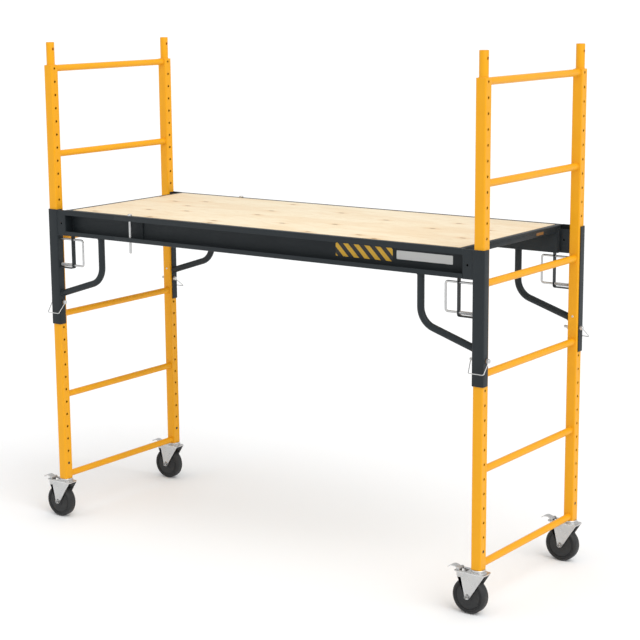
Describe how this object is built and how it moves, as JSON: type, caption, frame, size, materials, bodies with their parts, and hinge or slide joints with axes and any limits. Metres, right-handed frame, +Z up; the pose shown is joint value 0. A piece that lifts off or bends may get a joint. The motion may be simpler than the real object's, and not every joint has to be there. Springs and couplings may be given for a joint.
{
  "type": "baker scaffold",
  "caption": "Rolling work platform: plywood deck on steel side rails, pinned between ladder end frames with swivel casters.",
  "frame": {"origin": "middle of the scaffold's bounding box, at floor level", "axes": "+X along the deck, away from the way the casters trail; -Y is the front long side; +Z up"},
  "size_m": [2.0854, 0.759, 1.9015],
  "materials": {
    "orange_powder_coat": "semi-gloss powder coat",
    "black_powder_coat": "satin powder coat",
    "zinc_plate": "bright zinc plate",
    "black_rubber": "matt hard rubber",
    "plywood": "bare sanded plywood"
  },
  "bodies": {
    "frame": {"rung_left_1": "orange_powder_coat", "rung_left_2": "orange_powder_coat", "rung_left_3": "orange_powder_coat", "rung_left_4": "orange_powder_coat", "rung_left_5": "orange_powder_coat", "rung_left_6": "orange_powder_coat", "end_beam_left": "black_powder_coat", "rung_right_1": "orange_powder_coat", "rung_right_2": "orange_powder_coat", "rung_right_3": "orange_powder_coat", "rung_right_4": "orange_powder_coat", "rung_right_5": "orange_powder_coat", "rung_right_6": "orange_powder_coat", "end_beam_right": "black_powder_coat", "post_front_left": "orange_powder_coat", "corner_bracket_front_left": "black_powder_coat", "brace_front_left": "black_powder_coat", "caster_stem_front_left": "zinc_plate", "post_rear_left": "orange_powder_coat", "corner_bracket_rear_left": "black_powder_coat", "brace_rear_left": "black_powder_coat", "caster_stem_rear_left": "zinc_plate", "post_front_right": "orange_powder_coat", "corner_bracket_front_right": "black_powder_coat", "brace_front_right": "black_powder_coat", "caster_stem_front_right": "zinc_plate", "post_rear_right": "orange_powder_coat", "corner_bracket_rear_right": "black_powder_coat", "brace_rear_right": "black_powder_coat", "caster_stem_rear_right": "zinc_plate", "side_rail_front": "black_powder_coat", "side_rail_rear": "black_powder_coat", "deck_bearer": "black_powder_coat"},
    "deck": {"deck_panel": "plywood"},
    "swivel_front_left": {"caster_fork_front_left": "zinc_plate", "caster_axle_front_left": "zinc_plate"},
    "wheel_front_left": {"caster_wheel_front_left": "black_rubber"},
    "pedal_front_left": {"brake_pedal_front_left": "zinc_plate"},
    "latch_front_left": {"latch_loop_front_left": "zinc_plate"},
    "lock_pin_front_left": {"lock_pin_front_left": "zinc_plate"},
    "swivel_rear_left": {"caster_fork_rear_left": "zinc_plate", "caster_axle_rear_left": "zinc_plate"},
    "wheel_rear_left": {"caster_wheel_rear_left": "black_rubber"},
    "pedal_rear_left": {"brake_pedal_rear_left": "zinc_plate"},
    "latch_rear_left": {"latch_loop_rear_left": "zinc_plate"},
    "lock_pin_rear_left": {"lock_pin_rear_left": "zinc_plate"},
    "swivel_front_right": {"caster_fork_front_right": "zinc_plate", "caster_axle_front_right": "zinc_plate"},
    "wheel_front_right": {"caster_wheel_front_right": "black_rubber"},
    "pedal_front_right": {"brake_pedal_front_right": "zinc_plate"},
    "latch_front_right": {"latch_loop_front_right": "zinc_plate"},
    "lock_pin_front_right": {"lock_pin_front_right": "zinc_plate"},
    "swivel_rear_right": {"caster_fork_rear_right": "zinc_plate", "caster_axle_rear_right": "zinc_plate"},
    "wheel_rear_right": {"caster_wheel_rear_right": "black_rubber"},
    "pedal_rear_right": {"brake_pedal_rear_right": "zinc_plate"},
    "latch_rear_right": {"latch_loop_rear_right": "zinc_plate"},
    "lock_pin_rear_right": {"lock_pin_rear_right": "zinc_plate"},
    "joint_pin_front": {"rail_joint_pin_front": "zinc_plate"},
    "joint_pin_rear": {"rail_joint_pin_rear": "zinc_plate"}
  },
  "joints": [
    {"name": "deck_lift", "type": "slide", "parent": "frame", "child": "deck", "axis": [0, 0, 1], "range_m": [0, 0.2]},
    {"name": "caster_swivel_front_left", "type": "hinge", "parent": "frame", "child": "swivel_front_left", "pos_m": [-0.92478, -0.3325, 0.15], "axis": [0, 0, 1], "continuous": true},
    {"name": "wheel_spin_front_left", "type": "hinge", "parent": "swivel_front_left", "child": "wheel_front_left", "pos_m": [-0.95478, -0.3325, 0.0635], "axis": [0, 1, 0], "continuous": true},
    {"name": "brake_press_front_left", "type": "hinge", "parent": "swivel_front_left", "child": "pedal_front_left", "pos_m": [-0.99678, -0.3325, 0.152], "axis": [0, -1, 0], "range_deg": [0, 14]},
    {"name": "latch_pull_front_left", "type": "slide", "parent": "frame", "child": "latch_front_left", "axis": [1, 0, 0], "range_m": [0, 0.017], "stiffness_N_per_m": 400, "springref_m": -0.02},
    {"name": "lock_bail_swing_front_left", "type": "hinge", "parent": "frame", "child": "lock_pin_front_left", "pos_m": [-0.92478, -0.3325, 0.8869], "axis": [-1, 0, 0], "range_deg": [-15, 90]},
    {"name": "caster_swivel_rear_left", "type": "hinge", "parent": "frame", "child": "swivel_rear_left", "pos_m": [-0.92478, 0.3325, 0.15], "axis": [0, 0, 1], "continuous": true},
    {"name": "wheel_spin_rear_left", "type": "hinge", "parent": "swivel_rear_left", "child": "wheel_rear_left", "pos_m": [-0.95478, 0.3325, 0.0635], "axis": [0, 1, 0], "continuous": true},
    {"name": "brake_press_rear_left", "type": "hinge", "parent": "swivel_rear_left", "child": "pedal_rear_left", "pos_m": [-0.99678, 0.3325, 0.152], "axis": [0, -1, 0], "range_deg": [0, 14]},
    {"name": "latch_pull_rear_left", "type": "slide", "parent": "frame", "child": "latch_rear_left", "axis": [1, 0, 0], "range_m": [0, 0.017], "stiffness_N_per_m": 400, "springref_m": -0.02},
    {"name": "lock_bail_swing_rear_left", "type": "hinge", "parent": "frame", "child": "lock_pin_rear_left", "pos_m": [-0.92478, 0.3325, 0.8869], "axis": [1, 0, 0], "range_deg": [-15, 90]},
    {"name": "caster_swivel_front_right", "type": "hinge", "parent": "frame", "child": "swivel_front_right", "pos_m": [1.00422, -0.3325, 0.15], "axis": [0, 0, 1], "continuous": true},
    {"name": "wheel_spin_front_right", "type": "hinge", "parent": "swivel_front_right", "child": "wheel_front_right", "pos_m": [0.97422, -0.3325, 0.0635], "axis": [0, 1, 0], "continuous": true},
    {"name": "brake_press_front_right", "type": "hinge", "parent": "swivel_front_right", "child": "pedal_front_right", "pos_m": [0.93222, -0.3325, 0.152], "axis": [0, -1, 0], "range_deg": [0, 14]},
    {"name": "latch_pull_front_right", "type": "slide", "parent": "frame", "child": "latch_front_right", "axis": [-1, 0, 0], "range_m": [0, 0.017], "stiffness_N_per_m": 400, "springref_m": -0.02},
    {"name": "lock_bail_swing_front_right", "type": "hinge", "parent": "frame", "child": "lock_pin_front_right", "pos_m": [1.00422, -0.3325, 0.8869], "axis": [-1, 0, 0], "range_deg": [-15, 90]},
    {"name": "caster_swivel_rear_right", "type": "hinge", "parent": "frame", "child": "swivel_rear_right", "pos_m": [1.00422, 0.3325, 0.15], "axis": [0, 0, 1], "continuous": true},
    {"name": "wheel_spin_rear_right", "type": "hinge", "parent": "swivel_rear_right", "child": "wheel_rear_right", "pos_m": [0.97422, 0.3325, 0.0635], "axis": [0, 1, 0], "continuous": true},
    {"name": "brake_press_rear_right", "type": "hinge", "parent": "swivel_rear_right", "child": "pedal_rear_right", "pos_m": [0.93222, 0.3325, 0.152], "axis": [0, -1, 0], "range_deg": [0, 14]},
    {"name": "latch_pull_rear_right", "type": "slide", "parent": "frame", "child": "latch_rear_right", "axis": [-1, 0, 0], "range_m": [0, 0.017], "stiffness_N_per_m": 400, "springref_m": -0.02},
    {"name": "lock_bail_swing_rear_right", "type": "hinge", "parent": "frame", "child": "lock_pin_rear_right", "pos_m": [1.00422, 0.3325, 0.8869], "axis": [1, 0, 0], "range_deg": [-15, 90]},
    {"name": "rail_joint_pin_lift_front", "type": "slide", "parent": "frame", "child": "joint_pin_front", "axis": [0, 0, 1], "range_m": [0, 0.15]},
    {"name": "rail_joint_pin_lift_rear", "type": "slide", "parent": "frame", "child": "joint_pin_rear", "axis": [0, 0, 1], "range_m": [0, 0.15]}
  ]
}
